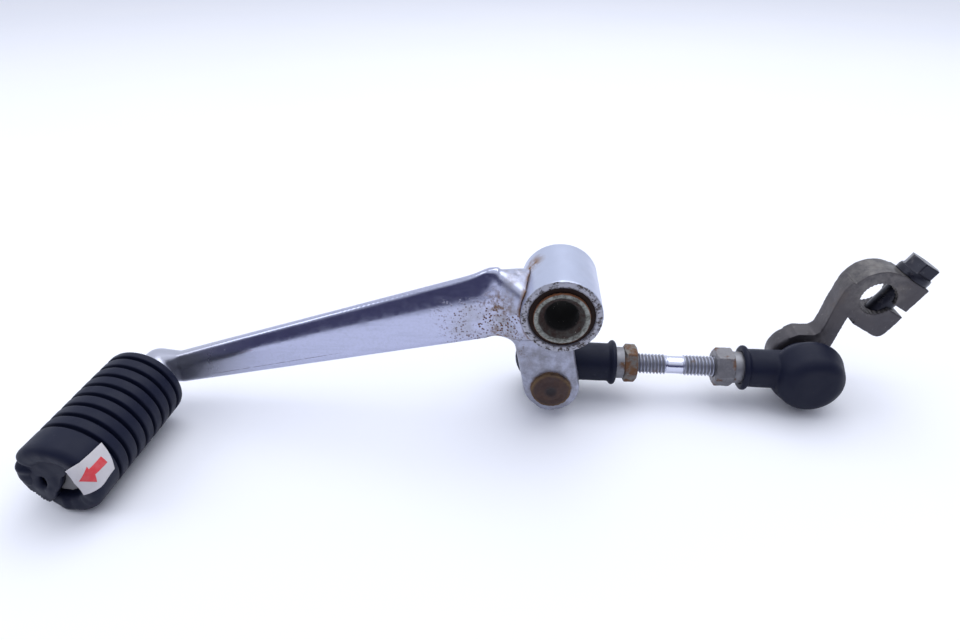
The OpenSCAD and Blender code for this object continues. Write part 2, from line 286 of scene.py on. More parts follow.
def scratch_chrome_blade(m):
    """One fine scratch that runs along the lower third of the blade."""
    drop = m.math("SUBTRACT", m.axis(2), m.math("MULTIPLY", m.axis(0), 0.222))
    off = m.math("ABSOLUTE", m.math("SUBTRACT", drop, -0.0034))
    scratch = m.times(m.inside(off, 0.03, 0.09), m.along(0, -100, -93), m.along(0, -58, -66),
                      m.patches(300, 5, 0.6, 0.36, 0.5, 0.8, 0.1))
    m.layer(scratch, color=(0.12, 0.11, 0.13), rough=0.5)


def rust_chrome_joints(m):
    """Rust where the neck meets the tube, and a ring round the rivet."""
    from_tube = m.off_line()
    seam = m.times(m.inside(from_tube, TUBE_R_MM + 0.2, 0.9), m.patches(300, 7, 0.65, 0.36, 0.52))
    m.layer(seam, color=RUST_PALE, rough=0.85, metal=0.05)
    line = m.times(m.inside(from_tube, TUBE_R_MM + 0.1, 0.4), m.patches(500, 5, 0.6, 0.3, 0.45))
    m.layer(line, color=RUST, rough=0.9, metal=0.0)
    eye = (BALL_A.x / MM, -5.6, BALL_A.z / MM)
    ring = m.times(m.near(eye, 5.55, 0.45), m.patches(420, 6, 0.6, 0.36, 0.56))
    m.layer(ring, color=RUST_PALE, rough=0.85, metal=0.1)


def chrome_material():
    """Bright plate on the blade, satin and stained at the hub with painted shade low on the arm, rusty at the root
    and the seam, and painted shade on the peg's end.
    """
    m = Mat("chrome_plate", (0.47, 0.488, 0.645), 1.0, 0.1)
    m.rough = m.patches(420, 5, 0.6, 0.3, 0.75, 0.22, 0.09)
    streak = m.noise(90, 3, 0.5, stretch=(1, 14, 14))
    m.layer(m.ramp(streak, 0.5, 0.78, 0.0, 0.5), color=(0.36, 0.38, 0.5))
    m.layer(m.patches(1500, 3, 0.7, 0.46, 0.68, 0.4), color=(0.36, 0.375, 0.47))
    m.layer(m.along(0, -84, -106), color=(0.46, 0.47, 0.55), rough=0.34, metal=0.9)
    # painted shade: the peg's end inside the rubber's mouth is painted dark grey and dull, standing in for the
    # shadow it lies in
    peg_end_painted_shade = m.near((RUBBER_IN + PEG_DIR * 37 * MM) / MM, 7, 1)
    m.layer(peg_end_painted_shade, color=(0.2, 0.195, 0.2), rough=0.6, metal=0.6)
    hub = m.along(0, -17.5, -14.5)
    stain_and_shade_chrome_hub(m, hub)
    specks = rust_chrome_root(m)
    few = m.times(m.specks(260, 0.0, 0.05), m.patches(45, 3, 0.55, 0.55, 0.62))
    m.layer(few, color=(0.16, 0.12, 0.1), rough=0.7, metal=0.3)
    scratch_chrome_blade(m)
    rust_chrome_joints(m)
    m.bump(m.noise(34, 2, 0.5), 0.05, 0.0006)
    m.bump(m.times(m.noise(800, 6, 0.7), m.math("ADD", hub, 0.12)), 0.3, 0.00008)
    m.bump(m.math("MULTIPLY", specks, -1.0), 0.5, 0.0001)
    return m.done()


def tube_material():
    """Satin plate, pitted dark on the front face, rust at the neck's seam."""
    m = Mat("tube_plate", (0.5, 0.54, 0.68), 0.85, 0.34)
    m.rough = m.patches(260, 5, 0.6, 0.3, 0.75, 0.44, 0.28)
    m.layer(m.patches(120, 6, 0.6, 0.45, 0.75, 0.4), color=(0.4, 0.42, 0.52))
    face = m.along(1, -10.65, -10.9)
    pits = m.times(face, m.patches(950, 8, 0.74, 0.51, 0.58))
    m.layer(face, color=(0.4, 0.4, 0.45), rough=0.5, metal=0.6)
    m.layer(pits, color=(0.075, 0.06, 0.055), rough=0.8, metal=0.2)
    mouth = m.times(m.inside(m.off_line(), 8.3, 0.8), m.patches(420, 6, 0.65, 0.36, 0.5))
    m.layer(mouth, color=(0.035, 0.018, 0.012), rough=0.85, metal=0.1)
    stain = m.times(m.near((-8.2, 4.5, 7.2), 1.2, 3.6), m.patches(330, 7, 0.65, 0.36, 0.56))
    m.layer(stain, color=RUST_PALE, rough=0.85, metal=0.1)
    side = m.times(m.near((-10.3, -1.0, 2.5), 1.2, 4.5), m.patches(330, 7, 0.65, 0.52, 0.66))
    m.layer(side, color=RUST_PALE, rough=0.85, metal=0.1)
    m.layer(m.times(m.specks(500, 0.0, 0.1), m.patches(90, 3, 0.55, 0.56, 0.62)),
            color=(0.2, 0.17, 0.15), rough=0.7, metal=0.3)
    m.bump(m.noise(900, 5, 0.65), 0.1, 0.00006)
    m.bump(m.math("MULTIPLY", pits, -1.0), 0.7, 0.00012)
    return m.done()


def collar_material():
    """Ground ring on the face, a rusty side band, a dark burnt bowl, and a bore painted black as shade."""
    m = Mat("collar_ground", (0.27, 0.28, 0.255), 0.8, 0.46)
    from_axis = m.off_line()
    m.layer(m.patches(900, 6, 0.7, 0.44, 0.6, 0.9), color=(0.09, 0.085, 0.07), rough=0.6, metal=0.5)
    side = m.ramp(from_axis, 7.05 * MM, 7.22 * MM)
    m.layer(side, color=(0.15, 0.05, 0.016), rough=0.8, metal=0.15)
    bowl = m.inside(from_axis, 5.8, 0.3)
    m.layer(bowl, color=(0.062, 0.056, 0.05), rough=0.55, metal=0.5)
    burnt = m.times(bowl, m.patches(420, 7, 0.7, 0.4, 0.56))
    m.layer(burnt, color=(0.035, 0.016, 0.011), rough=0.75, metal=0.2)
    # painted shade: the bore is painted near black and matte, standing in for the shade down the hole
    m.layer(m.inside(from_axis, 4.3, 0.4), color=(0.006, 0.005, 0.005), rough=0.9, metal=0.0)
    glints = m.times(bowl, m.specks(900, 0.0, 0.14), m.patches(300, 3, 0.55, 0.5, 0.58))
    m.layer(glints, color=(0.6, 0.56, 0.5), rough=0.3, metal=0.9)
    m.bump(m.noise(800, 7, 0.7), 0.4, 0.0001)
    return m.done()


def rust_mask(m, scale, cover):
    """Rust blooms: cover runs from 0 (none) to 1 (all)."""
    return m.patches(scale, 8.0, 0.62, 0.94 - cover, 1.06 - cover)


def satin_material(name, color, rust, rough, metal=0.92):
    """Dull plate or bare metal with rust blooms over part of it."""
    m = Mat(name, color, metal, rough)
    m.rough = m.patches(300, 6, 0.6, 0.3, 0.75, rough + 0.16, rough - 0.08)
    tone = tuple(c * 0.66 for c in color)
    m.layer(m.patches(160, 6, 0.6, 0.45, 0.75, 0.8), color=tone)
    r = rust_mask(m, 260, rust)
    m.layer(r, color=(0.15, 0.075, 0.036), rough=0.8, metal=0.15)
    m.layer(m.times(r, m.patches(600, 4, 0.55, 0.44, 0.58)), color=RUST, rough=0.85, metal=0.05)
    m.bump(m.noise(900, 5, 0.65), 0.2, 0.00008)
    m.bump(r, 0.3, 0.0001)
    return m.done()


def rod_material():
    """Zinc threads with painted shade in the roots, and a bright plain middle."""
    m = Mat("rod_plate", (0.46, 0.48, 0.58), 0.95, 0.3)
    m.layer(m.patches(300, 6, 0.65, 0.42, 0.7, 0.8), color=(0.36, 0.37, 0.43), rough=0.45, metal=0.8)
    from_middle = m.math("ABSOLUTE", m.math("SUBTRACT", m.axis(0), BALL_A.x + ROD_MIDDLE * MM))
    bright = m.inside(from_middle, 2.6, 0.3)
    threads = m.math("SUBTRACT", 1.0, bright)
    m.layer(bright, color=(0.66, 0.68, 0.8), rough=0.14, metal=1.0)
    # painted shade: the thread roots, below the crests, are painted darker
    painted_root_shade = m.times(m.inside(m.off_line(BALL_A, (1, 2)), 2.6, 0.25), threads)
    m.layer(painted_root_shade, color=(0.25, 0.25, 0.28), rough=0.55, metal=0.6)
    m.layer(m.times(rust_mask(m, 200, 0.34), threads), color=(0.22, 0.13, 0.07), rough=0.8, metal=0.2)
    m.bump(m.noise(900, 5, 0.65), 0.2, 0.00006)
    return m.done()


def rubber_material(name, tint=(0.0058, 0.0082, 0.025), dust=0.16, rough=0.5):
    """Black rubber with dusty patches, scuffs and a few pale specks."""
    m = Mat(name, tint, 0.0, rough, Specular_IOR_Level=0.2)
    m.rough = m.patches(180, 6, 0.6, 0.3, 0.75, rough + 0.16, rough - 0.08)
    m.layer(m.patches(60, 8, 0.65, 0.5, 0.85, dust), color=(0.022, 0.026, 0.044), rough=0.65)
    scuffs = m.noise(420, 3, 0.5, stretch=(1, 3, 1))
    m.layer(m.ramp(scuffs, 0.7, 0.8, 0.0, dust), color=(0.11, 0.11, 0.13), rough=0.8)
    m.layer(m.times(m.specks(340, 0.0, 0.04), m.patches(70, 3, 0.55, 0.54, 0.6)),
            color=(0.2, 0.19, 0.18), rough=0.8)
    m.bump(m.noise(900, 4, 0.6), 0.1, 0.00005)
    m.bump(m.noise(120, 4, 0.5), 0.08, 0.0003)
    return m.done()


def rivet_material(centre):
    """Dark burnt rivet head, ringed, with a rusty rim."""
    m = Mat("rivet_rusty", (0.05, 0.026, 0.022), 0.4, 0.55)
    m.rough = m.patches(350, 6, 0.6, 0.3, 0.75, 0.7, 0.4)
    from_axis = m.off_line(centre)
    m.layer(m.patches(300, 7, 0.65, 0.46, 0.7, 0.8), color=(0.085, 0.042, 0.026), rough=0.8, metal=0.1)
    m.layer(m.inside(from_axis, 0.9, 1.3), color=(0.026, 0.02, 0.022), rough=0.5, metal=0.5)
    rim = m.times(m.ramp(from_axis, 4.6 * MM, 5.3 * MM), m.patches(420, 6, 0.65, 0.34, 0.54))
    m.layer(rim, color=(0.14, 0.085, 0.04), rough=0.85, metal=0.05)
    m.bump(m.noise(700, 6, 0.65), 0.3, 0.0001)
    return m.done()


def raw_steel_material():
    """Bare cast steel, browned in patches, with a painted highlight brightening it round the clamp's bore."""
    m = Mat("raw_cast_steel", (0.075, 0.07, 0.078), 0.65, 0.42)
    m.rough = m.patches(260, 7, 0.62, 0.3, 0.75, 0.56, 0.34)
    m.layer(m.patches(70, 5, 0.55, 0.42, 0.72, 0.6), color=(0.105, 0.093, 0.09), rough=0.5)
    m.layer(m.patches(150, 6, 0.6, 0.58, 0.78, 0.45), color=(0.13, 0.09, 0.062), rough=0.7, metal=0.3)
    m.layer(m.patches(700, 4, 0.6, 0.64, 0.72, 0.4), color=(0.25, 0.24, 0.23), rough=0.36, metal=0.9)
    # painted highlight: a brighter, smoother, more metallic patch over the top of the clamp round its bore
    painted_clamp_highlight = m.times(m.near(CLAMP / MM + Vector((-1.5, 0, 4)), 3.5, 8),
                     m.patches(330, 7, 0.66, 0.4, 0.6, 0.9, 0.1))
    m.layer(painted_clamp_highlight, color=(0.2, 0.19, 0.18), rough=0.42, metal=0.85)
    m.bump(m.noise(700, 6, 0.62), 0.18, 0.00008)
    m.bump(m.noise(60, 3, 0.5), 0.08, 0.0004)
    return m.done()


def bolt_material():
    """Black oxide, worn to bare steel in places."""
    m = Mat("black_oxide", (0.022, 0.023, 0.034), 0.6, 0.34)
    m.rough = m.patches(350, 6, 0.6, 0.3, 0.75, 0.46, 0.24)
    m.layer(m.patches(260, 7, 0.62, 0.62, 0.76, 0.7), color=(0.16, 0.15, 0.15), rough=0.4, metal=0.9)
    m.bump(m.noise(700, 5, 0.6), 0.15, 0.00006)
    return m.done()


def paper_material():
    """Grubby white paper."""
    m = Mat("label_paper", (0.62, 0.6, 0.62), 0.0, 0.62)
    m.layer(m.patches(160, 6, 0.6, 0.4, 0.75, 0.6), color=(0.5, 0.47, 0.47))
    m.layer(m.patches(500, 4, 0.6, 0.66, 0.74, 0.5), color=(0.36, 0.32, 0.3))
    m.bump(m.noise(900, 4, 0.6), 0.15, 0.00004)
    return m.done()


def ink_material():
    """Red ink, thin in places."""
    m = Mat("label_ink", (0.66, 0.04, 0.05), 0.0, 0.5)
    m.layer(m.patches(420, 5, 0.6, 0.42, 0.7, 0.45), color=(0.6, 0.2, 0.21))
    m.bump(m.noise(900, 4, 0.6), 0.1, 0.00003)
    return m.done()


def floor_material():
    """White table top with a very faint tone."""
    m = Mat("paper_floor", (0.9, 0.905, 0.95), 0.0, 0.6)
    m.layer(m.patches(6, 3, 0.5, 0.3, 0.7, 0.5), color=(0.87, 0.885, 0.95))
    m.bump(m.noise(400, 4, 0.6), 0.04, 0.0001)
    return m.done()


# middle and ends of the tie rod's plain stretch, from ball A along the rod
ROD_MIDDLE, ROD_PLAIN = 36.55, (33.8, 39.3)

MATS = {
    "chrome": chrome_material(),
    "tube": tube_material(),
    "weld": satin_material("weld_plate", (0.42, 0.4, 0.39), 0.55, 0.5),
    "bronze": satin_material("oiled_bronze", (0.25, 0.17, 0.09), 0.2, 0.45),
    "seal": rubber_material("seal_rubber", (0.022, 0.011, 0.008), 0.02, 0.7),
    "collar": collar_material(),
    "toe": rubber_material("toe_rubber_skin"),
    "stud": rivet_material(BALL_A),
    "stud_b": rivet_material(BALL_B),
    "rod": rod_material(),
    "zinc": satin_material("zinc_plate", (0.25, 0.25, 0.27), 0.36, 0.48, 0.75),
    "nut_a": satin_material("nut_rusty", (0.2, 0.185, 0.17), 0.5, 0.5, 0.75),
    "nut_b": satin_material("nut_plate", (0.24, 0.235, 0.25), 0.38, 0.46, 0.8),
    "seat": rubber_material("acetal_seat", (0.55, 0.55, 0.5), 0.1, 0.4),
    "boot": rubber_material("boot_rubber_skin", (0.0058, 0.0078, 0.023), 0.12, 0.48),
    "steel": raw_steel_material(),
    "bolt": bolt_material(),
    "paper": paper_material(),
    "ink": ink_material(),
}
BODY_OF = {n: body for body, nodes in frame["record"]["behaviour"]["bodies"].items() for n in nodes}

NODE_MAT = {
    "pedal_lever": "chrome", "pivot_tube": "tube", "weld_bead": "weld", "bush_front": "bronze",
    "bush_rear": "bronze", "dust_seal_front": "seal", "dust_seal_rear": "seal",
    "pivot_collar": "collar", "toe_rubber": "toe", "ball_stud_a": "stud", "rod_end_a": "zinc",
    "ball_seat_a": "seat", "retainer_a": "zinc", "boot_a": "boot", "lock_nut_a": "nut_a",
    "tie_rod": "rod", "lock_nut_b": "nut_b", "rod_end_b": "zinc", "ball_seat_b": "seat",
    "retainer_b": "zinc", "boot_b": "boot", "ball_stud_b": "stud_b", "shaft_arm": "steel",
    "pinch_bolt": "bolt",
}
for n, key in NODE_MAT.items():
    o = frame["nodes"][n]
    o.data.materials.clear()
    o.data.materials.append(MATS[key])


# ---------- detailed pieces ----------

def link(o):
    bpy.context.scene.collection.objects.link(o)
    return o


def add_mesh(name, verts, faces, mat):
    me = bpy.data.meshes.new(name)
    me.from_pydata([tuple(v) for v in verts], [], faces)
    me.validate()
    me.materials.append(MATS[mat])
    me.shade_smooth()
    return link(bpy.data.objects.new(name, me))


def limited(*values):
    """The least of some values, kept between 0 and 1."""
    return max(0.0, min(1.0, *values))


def baked(o):
    """The object with its modifiers applied."""
    deps = bpy.context.evaluated_depsgraph_get()
    me = bpy.data.meshes.new_from_object(o.evaluated_get(deps))
    o.modifiers.clear()
    o.data = me
    return o


def soften(o, factor, rounds, group=""):
    """Adds a smoothing modifier, over the whole skin or one vertex group."""
    k = o.modifiers.new("soften", "SMOOTH")
    k.factor, k.iterations, k.vertex_group = factor, rounds, group
    return o


def soft_copy(node, voxel, rounds):
    """A node's mesh remade as an even skin with softly rounded edges."""
    src = frame["nodes"][node]
    me = src.data.copy()
    me.transform(src.matrix_world)
    o = link(bpy.data.objects.new(node + "_visual", me))
    r = o.modifiers.new("skin", "REMESH")
    r.mode = "VOXEL"
    r.voxel_size = voxel * MM
    baked(soften(o, 0.5, rounds))
    o.data.materials.clear()
    o.data.materials.append(MATS[NODE_MAT[node]])
    o.data.shade_smooth()
    return o


def stands_for(o, node):
    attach(o, BODY_OF[node])
    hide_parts(node)
    return o


def roughen(o, size, depth, keep=None):
    """Pushes the skin in by a fractal noise, so that no point leaves the CAD surface."""
    me = o.data
    normals = [n.vector.copy() for n in me.vertex_normals]
    for v, n in zip(me.vertices, normals):
        w = 1.0 if keep is None else keep(v.co)
        if w > 0:
            k = noise.fractal(v.co / (size * MM), 0.9, 2.1, 4)
            v.co -= n * (depth * MM * w * max(0.0, 0.5 + k))


# the blade's edges and front face: each a height at the tip and its rise to the root, in millimetres
TIP_X, ROOT_X = -107.7 * MM, -16.5 * MM
BLADE_BOTTOM, BLADE_TOP, BLADE_FRONT = (-28.9, 18.2), (-19.9, 28.9), (-7.8, 2.4)
BLADE_THICK = 5.5 * MM
FACET_TOP = 0.98
NECK_FROM, NECK_TO, NECK_FADE = -19.5 * MM, -4 * MM, 2 * MM
DIMPLE_X, DIMPLE_Y, DIMPLE_R, DIMPLE_DEEP = -11.7 * MM, -1.2 * MM, 1.1 * MM, 0.25 * MM
PEG_END_FROM, PEG_END_GROW = 33 * MM, 0.9 * MM


def on_blade(line, s):
    """The height of a blade line a share s of the way from the tip to the root."""
    return (line[0] + s * line[1]) * MM


def shape_blade(c):
    """Leans the upper front facet back, most at its top edge, and lifts the top edge at the root."""
    s = (c.x - TIP_X) / (ROOT_X - TIP_X)
    if not 0 < s < 1:
        return
    tall = on_blade(BLADE_TOP, s) - on_blade(BLADE_BOTTOM, s)
    up = (c.z - on_blade(BLADE_BOTTOM, s)) / tall
    depth = (c.y - on_blade(BLADE_FRONT, s)) / BLADE_THICK
    edge = 0.54 + 0.15 * min(1.0, s / 0.5)
    if up > edge and depth < 1:
        share = min(1.0, (up - edge) / (FACET_TOP - edge))
        ends = limited(s / 0.15, (1 - s) / 0.05)
        lean = 0.13 * (FACET_TOP - edge) * tall * ends * share ** 1.7
        c.y += lean * (1 - max(0.0, depth)) ** 0.8
    c.z += 0.8 * MM * bell(c.x, -18.5 * MM, 3.5 * MM) * limited((up - 0.7) / 0.25)


def forged_lever():
    """The lever: a melted neck, a leaning facet on the blade, a dimple on the hub, a longer peg end."""
    lever = soft_copy("pedal_lever", 0.42, 5)
    neck = lever.vertex_groups.new(name="neck")
    for v in lever.data.vertices:
        c = v.co
        w = limited((c.x - NECK_FROM) / NECK_FADE, (NECK_TO - c.x) / NECK_FADE)
        w *= limited((math.hypot(c.x, c.z) - TUBE_R - 0.3 * MM) / (0.8 * MM))
        if w > 0:
            neck.add([v.index], w, "REPLACE")
    baked(soften(lever, 0.6, 60, "neck"))
    lever.vertex_groups.clear()
    for v in lever.data.vertices:
        c = v.co
        shape_blade(c)
        flat = math.hypot(c.x - DIMPLE_X, c.y - DIMPLE_Y)
        if flat < DIMPLE_R and c.z > 3 * MM:
            c.z -= DIMPLE_DEEP * (1 - (flat / DIMPLE_R) ** 2)
        past = (c - RUBBER_IN).dot(PEG_DIR) - PEG_END_FROM
        if past > 0:
            c += PEG_DIR * min(PEG_END_GROW, past * 1.3)
    stands_for(baked(soften(lever, 0.5, 3)), "pedal_lever")


def worn_tube():
    """The pivot tube: worn rims and a pitted front face."""
    tube = soft_copy("pivot_tube", 0.3, 2)
    roughen(tube, 0.6, 0.1, lambda c: 1.0 if c.y < TUBE_LO.y + 0.45 * MM else 0.0)
    stands_for(tube, "pivot_tube")


def burnt_collar():
    """The collar: a burnt bowl, and ends a little larger where they stand proud of the seals."""
    seal_front, seal_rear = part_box("dust_seal_front")[0].y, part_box("dust_seal_rear")[1].y
    bowl_r, grow_most = 5.5, 0.045
    collar = soft_copy("pivot_collar", 0.22, 1)
    for v in collar.data.vertices:
        c = v.co
        r = math.hypot(c.x, c.z) / MM
        proud = max(seal_front - c.y, c.y - seal_rear) / MM
        if proud > 0.05 and r > bowl_r:
            grow = 1 + grow_most * limited((r - bowl_r) / 1.2) * limited(proud / 0.2)
            c.x, c.z = c.x * grow, c.z * grow
    roughen(collar, 0.7, 0.12, lambda c: 1.0 if abs(c.y) > 9 * MM else 0.0)
    stands_for(collar, "pivot_collar")


def punched_rivet(node, centre, side):
    """A rivet head: a shallow dimple and a ring left by the riveting punch."""
    stud = soft_copy(node, 0.2, 2)
    lo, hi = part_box(node)
    end = lo.y if side < 0 else hi.y
    for v in stud.data.vertices:
        if (v.co.y - end) * side > -1.1 * MM:
            r = math.hypot(v.co.x - centre.x, v.co.z - centre.z) / MM
            dent = 0.45 * max(0.0, 1 - (r / 1.5) ** 2) + 0.14 * bell(r, 3.1, 0.45)
            v.co.y -= side * dent * MM
    roughen(stud, 0.8, 0.09, lambda c: 1.0 if (c.y - end) * side > -1.6 * MM else 0.0)
    stands_for(stud, node)


def rolled_boot(node, ball, way, stretch):
    """A boot: a narrow bead at the sleeve's mouth, its edges rolled, the sleeve's length trimmed."""
    sleeve_from, bead_from, bead_at, sleeve_r = 12, 15, 18.3, 5.62
    boot = soft_copy(node, 0.32, 1)
    for v in boot.data.vertices:
        along = (v.co.x - ball.x) * way / MM
        if along > sleeve_from:
            v.co.x += (along - sleeve_from) * stretch * MM
        dy, dz = v.co.y - ball.y, v.co.z - ball.z
        r = math.hypot(dy, dz) / MM
        if along > bead_from and r > 5.3:
            limit = sleeve_r + math.exp(-(((along - bead_at) / 0.85) ** 4))
            if r > limit:
                v.co.y, v.co.z = ball.y + dy * limit / r, ball.z + dz * limit / r
    stands_for(baked(soften(boot, 0.5, 3)), node)


def worn_nut(node, shift, shorter):
    """A lock nut with broken edges, moved and shortened along the rod, in millimetres."""
    nut = soft_copy(node, 0.2, 2)
    lo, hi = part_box(node)
    for v in nut.data.vertices:
        v.co.x = lo.x + shift * MM + (v.co.x - lo.x) * (hi.x - lo.x - shorter * MM) / (hi.x - lo.x)
    roughen(nut, 0.8, 0.08)
    stands_for(nut, node)


def pinch_bolt():
    """The pinch bolt with its washer face drawn in."""
    bolt_r, draw = 4.7 * MM, 0.8
    bolt = soft_copy("pinch_bolt", 0.2, 2)
    for v in bolt.data.vertices:
        rel = v.co - BOLT_AT
        side = rel - BOLT_DIR * rel.dot(BOLT_DIR)
        if side.length > bolt_r:
            v.co -= side.normalized() * (side.length - bolt_r) * draw
    stands_for(bolt, "pinch_bolt")


def cast_arm():
    """The shaft arm: a sand-cast skin, and serrations in the clamp's bore."""
    splines, spline_deep, clamp_from = 30, 0.32 * MM, 15 * MM
    arm = soft_copy("shaft_arm", 0.26, 9)
    for v in arm.data.vertices:
        dx, dz = v.co.x - CLAMP.x, v.co.z - CLAMP.z
        r = math.hypot(dx, dz)
        if r < 5.15 * MM and v.co.y > clamp_from:
            wave = 0.5 + 0.5 * math.cos(math.atan2(dz, dx) * splines)
            grow = spline_deep * wave * (1 - max(0.0, r / MM - 4.8) / 0.35)
            v.co.x += dx / r * grow
            v.co.z += dz / r * grow
    roughen(arm, 2.6, 0.08, lambda c: 0.0 if math.hypot(c.x - CLAMP.x, c.z - CLAMP.z) < 5.4 * MM else 1.0)
    stands_for(arm, "shaft_arm")


def threaded_rod():
    """The tie rod: a rolled M6 thread at both ends of a plain middle."""
    lo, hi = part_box("tie_rod")
    around, per_pitch, pitch = 48, 12, 1.0 * MM
    root_r, tooth_high, plain_r = 2.42, 0.57, 2.62
    mid0, mid1 = (BALL_A.x + x * MM for x in ROD_PLAIN)
    count = int((hi.x - lo.x) / pitch * per_pitch)
    verts, faces = [], []
    for j in range(count + 1):
        x = lo.x + (hi.x - lo.x) * j / count
        plain = limited((x - mid0) / (0.8 * MM), (mid1 - x) / (0.8 * MM))
        for i in range(around):
            a = 2 * math.pi * i / around
            phase = (x / pitch - i / around) % 1.0
            tooth = limited(abs(phase - 0.5) * 2.6 - 0.15)
            r = (root_r + tooth_high * tooth) * MM * (1 - plain) + plain_r * MM * plain
            verts.append((x, BALL_A.y + r * math.cos(a), BALL_A.z + r * math.sin(a)))
    for j in range(count):
        for i in range(around):
            k = (i + 1) % around
            faces.append((j * around + i, j * around + k, (j + 1) * around + k, (j + 1) * around + i))
    faces.append(tuple(range(around))[::-1])
    faces.append(tuple(count * around + i for i in range(around)))
    stands_for(add_mesh("tie_rod_visual", verts, faces, "rod"), "tie_rod")


forged_lever()
worn_tube()
burnt_collar()
punched_rivet("ball_stud_a", BALL_A, -1)
punched_rivet("ball_stud_b", BALL_B, 1)
rolled_boot("boot_a", BALL_A, 1, 0.0)
rolled_boot("boot_b", BALL_B, -1, 0.09)
worn_nut("lock_nut_a", 0.0, 0.0)
worn_nut("lock_nut_b", 1.6, 0.8)
pinch_bolt()
cast_arm()
threaded_rod()


# ---------- the torn toe rubber, in the peg's own frame ----------

def at_peg(u, v, t):
    """A point u across, v up and t out along the peg, in millimetres."""
    return RUBBER_IN + (PEG_X * u + PEG_Z * v + PEG_DIR * t) * MM


def rubber_profile():
    """Radius against distance out along the peg, round the rubber's skin and back up its bore."""
    grooves, first_groove, groove_pitch = 8, 2.85, 3.75
    pts = [(0.0, 4.85), (0.0, 7.5), (0.0, 9.9), (0.12, 10.45), (0.45, 10.75), (0.9, 10.88)]
    for g in range(grooves):
        c = first_groove + g * groove_pitch
        for k, r in ((-1.0, 10.9), (-0.78, 10.88), (-0.64, 10.8), (-0.55, 10.62), (-0.5, 10.2), (-0.46, 9.6),
                     (-0.3, 9.38), (0.0, 9.33), (0.3, 9.38), (0.46, 9.6), (0.5, 10.2), (0.55, 10.62),
                     (0.64, 10.8), (0.78, 10.88), (1.0, 10.9)):
            pts.append((c + k, r))
    for t in range(31, 36):
        pts.append((t, 10.9))
    for i in range(13):
        a = math.radians(85 - i * 7.1)
        pts.append((35.3 + 2.2 * math.cos(a), 8.7 + 2.2 * math.sin(a)))
    pts += [(37.4, 7.9), (37.2, 7.0), (36.8, 6.3), (36.2, 5.9), (35.2, 5.6), (34.2, 5.5),
            (33.9, 5.3), (33.7, 4.85)]
    return pts


def torn_rubber():
    """The rubber's sleeve: its outer rim notched at the upper left and pulled in at the lower left."""
    pts = rubber_profile()
    around, rim_from, longest = 168, 33.5, 37.6
    verts = []
    for i in range(around):
        a = 2 * math.pi * i / around
        cos, sin, turn = math.cos(a), math.sin(a), math.degrees(a)
        for t, r in pts:
            edge = max(0.0, (t - rim_from) / 4.0)
            notch, low = bell(turn, 152, 7) * edge, bell(turn, 222, 24) * edge
            swell = noise.noise(Vector((cos * 2.2, sin * 2.2, t * 0.12)))
            ragged = edge * 0.35 * noise.noise(Vector((cos * 4, sin * 4, 3)))
            rr = r - 0.8 * notch - 0.4 * low + 0.09 * swell - 0.05
            tt = t - 1.0 * notch - 1.3 * low + ragged
            verts.append(at_peg(rr * cos, rr * sin, min(tt, longest)))
    n = len(pts)
    faces = []
    for i in range(around):
        k = (i + 1) % around
        for j in range(n):
            m = (j + 1) % n
            faces.append((i * n + j, i * n + m, k * n + m, k * n + j))
    return add_mesh("toe_rubber_visual", verts, faces, "toe")


# the tear across the end wall: a point on it and its outward normal, across and up the peg
TEAR_AT, TEAR_N = (6.6, 7.6), (14.3 / 17.45, -10 / 17.45)


def past_tear(u, v):
    """How far a place on the end wall lies beyond the tear."""
    return (u - TEAR_AT[0]) * TEAR_N[0] + (v - TEAR_AT[1]) * TEAR_N[1]


def edge_radius(u, v):
    """How far the end wall reaches from the peg's axis: to the rim, and past it where it has dropped."""
    a = math.degrees(math.atan2(v, u)) % 360
    low = limited((a - 158) / 18, (246 - a) / 12)
    teeth = 0.8 * (abs((a / 4.2) % 1.0 - 0.5) * 2) if 210 < a < 240 else 0.0
    return 8.9 + 1.75 * low - teeth


def wall_reach(cu, cv, du, dv):
    """How far the end wall runs from its hole's centre, one way: to its edge or to the ragged tear."""
    reach = 0.0
    while True:
        reach += 0.05
        u, v = cu + du * reach, cv + dv * reach
        if math.hypot(u, v) > edge_radius(u, v) or past_tear(u, v) > 0.35 * math.sin(reach * 1.7):
            return reach


def torn_cap():
    """The rubber's end wall, torn free on its lower right, with a worn hole and ragged teeth."""
    cu, cv, hole_u, hole_v = -4.0, -0.9, 0.95, 1.6
    around, rings, thick = 150, 16, 1.7
    wall_at, swell_u, swell_v = 36.5, -3.4, -2.6
    top, bottom = [], []
    for i in range(around):
        a = 2 * math.pi * i / around
        du, dv = math.cos(a), math.sin(a)
        reach = wall_reach(cu, cv, du, dv)
        for j in range(rings + 1):
            f = j / rings
            u = cu + hole_u * du * (1 - f) + du * reach * f
            v = cv + hole_v * dv * (1 - f) + dv * reach * f
            swell = math.exp(-((u - swell_u) ** 2 + (v - swell_v) ** 2) / 26)
            h = wall_at + swell + 0.4 * math.exp(past_tear(u, v) / 0.9) - 0.55 * math.exp(-f / 0.12)
            h += 0.12 * noise.noise(Vector((u * 0.5, v * 0.5, 1.5)))
            if j == rings:
                h -= 0.35
            top.append(at_peg(u, v, h))
            bottom.append(at_peg(u * 0.985, v * 0.985, h - thick))
    n, base = rings + 1, len(top)
    faces = []
    for i in range(around):
        k = (i + 1) % around
        for j in range(rings):
            faces.append((i * n + j, i * n + j + 1, k * n + j + 1, k * n + j))
            faces.append((base + i * n + j, base + k * n + j, base + k * n + j + 1, base + i * n + j + 1))
        faces.append((i * n, k * n, base + k * n, base + i * n))
        faces.append((i * n + rings, base + i * n + rings, base + k * n + rings, k * n + rings))
    return add_mesh("toe_rubber_torn_end", top + bottom, faces, "toe")


shell = torn_rubber()
stands_for(shell, "toe_rubber")
cap = torn_cap()
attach(cap, "lever")


